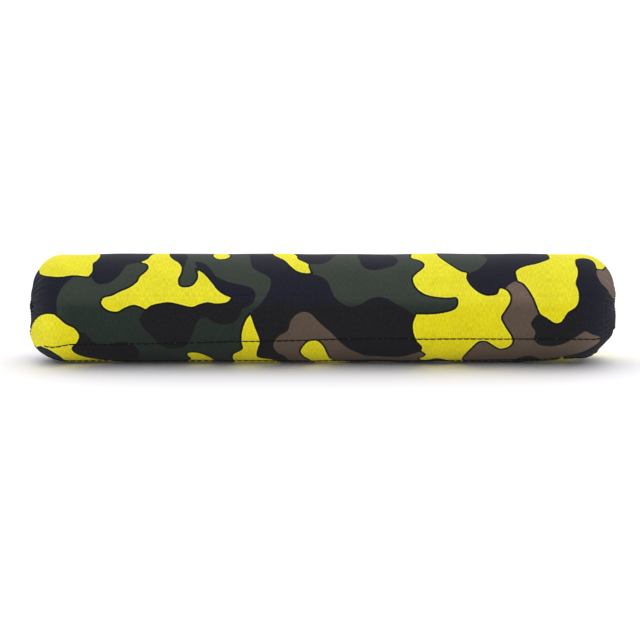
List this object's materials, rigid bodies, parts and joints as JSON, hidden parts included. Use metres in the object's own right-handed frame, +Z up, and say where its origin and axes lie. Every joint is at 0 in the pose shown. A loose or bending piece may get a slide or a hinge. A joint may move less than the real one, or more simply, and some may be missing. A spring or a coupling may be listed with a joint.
{
  "type": "training bumper",
  "caption": "Cylindrical foam training bumper pad in a camouflage sleeve, split lengthwise and closed by a hook-and-loop flap, that snaps round a bar.",
  "frame": {"origin": "on the bore axis, at the middle of the pad's length", "axes": "+X along the bore, to the right as seen from the closure side; +Z up as the pad rests on its flat; the closure flap faces -Y"},
  "size_m": [0.45, 0.0834, 0.0825],
  "materials": {
    "printed_cover": "matte knitted polyester, printed with a black, green, brown and yellow camouflage",
    "lining": "matte black tricot",
    "foam": "matte closed-cell foam rubber",
    "elastic": "braided white elastic",
    "hook_tape": "black nylon hooks",
    "loop_tape": "black napped loops",
    "thread": "dark polyester thread"
  },
  "bodies": {
    "lower_half": {"foam_core_lower": "foam", "cover_lower": "printed_cover", "lining_lower": "lining", "left_hem_lower": "printed_cover", "right_hem_lower": "printed_cover", "left_elastic_lower": "elastic", "right_elastic_lower": "elastic", "loop_tape": "loop_tape", "loop_tape_seam_upper": "thread", "loop_tape_seam_lower": "thread"},
    "upper_half": {"foam_core_upper": "foam", "cover_upper": "printed_cover", "lining_upper": "lining", "left_hem_upper": "printed_cover", "right_hem_upper": "printed_cover", "left_elastic_upper": "elastic", "right_elastic_upper": "elastic"},
    "flap": {"closure_flap": "printed_cover", "hook_tape": "hook_tape", "hook_tape_seam_upper": "thread", "hook_tape_seam_lower": "thread"}
  },
  "joints": [
    {"name": "sleeve_open", "type": "hinge", "parent": "lower_half", "child": "upper_half", "pos_m": [0, 0.03947, -0.01282], "axis": [-1, 0, 0], "range_deg": [0, 30]},
    {"name": "flap_open", "type": "hinge", "parent": "upper_half", "child": "flap", "pos_m": [0, -0.03985, 0.01295], "axis": [-1, 0, 0], "range_deg": [0, 150]}
  ],
  "couplings": [
    {"joint": "flap_open", "follows": "sleeve_open", "ratio": 5}
  ]
}
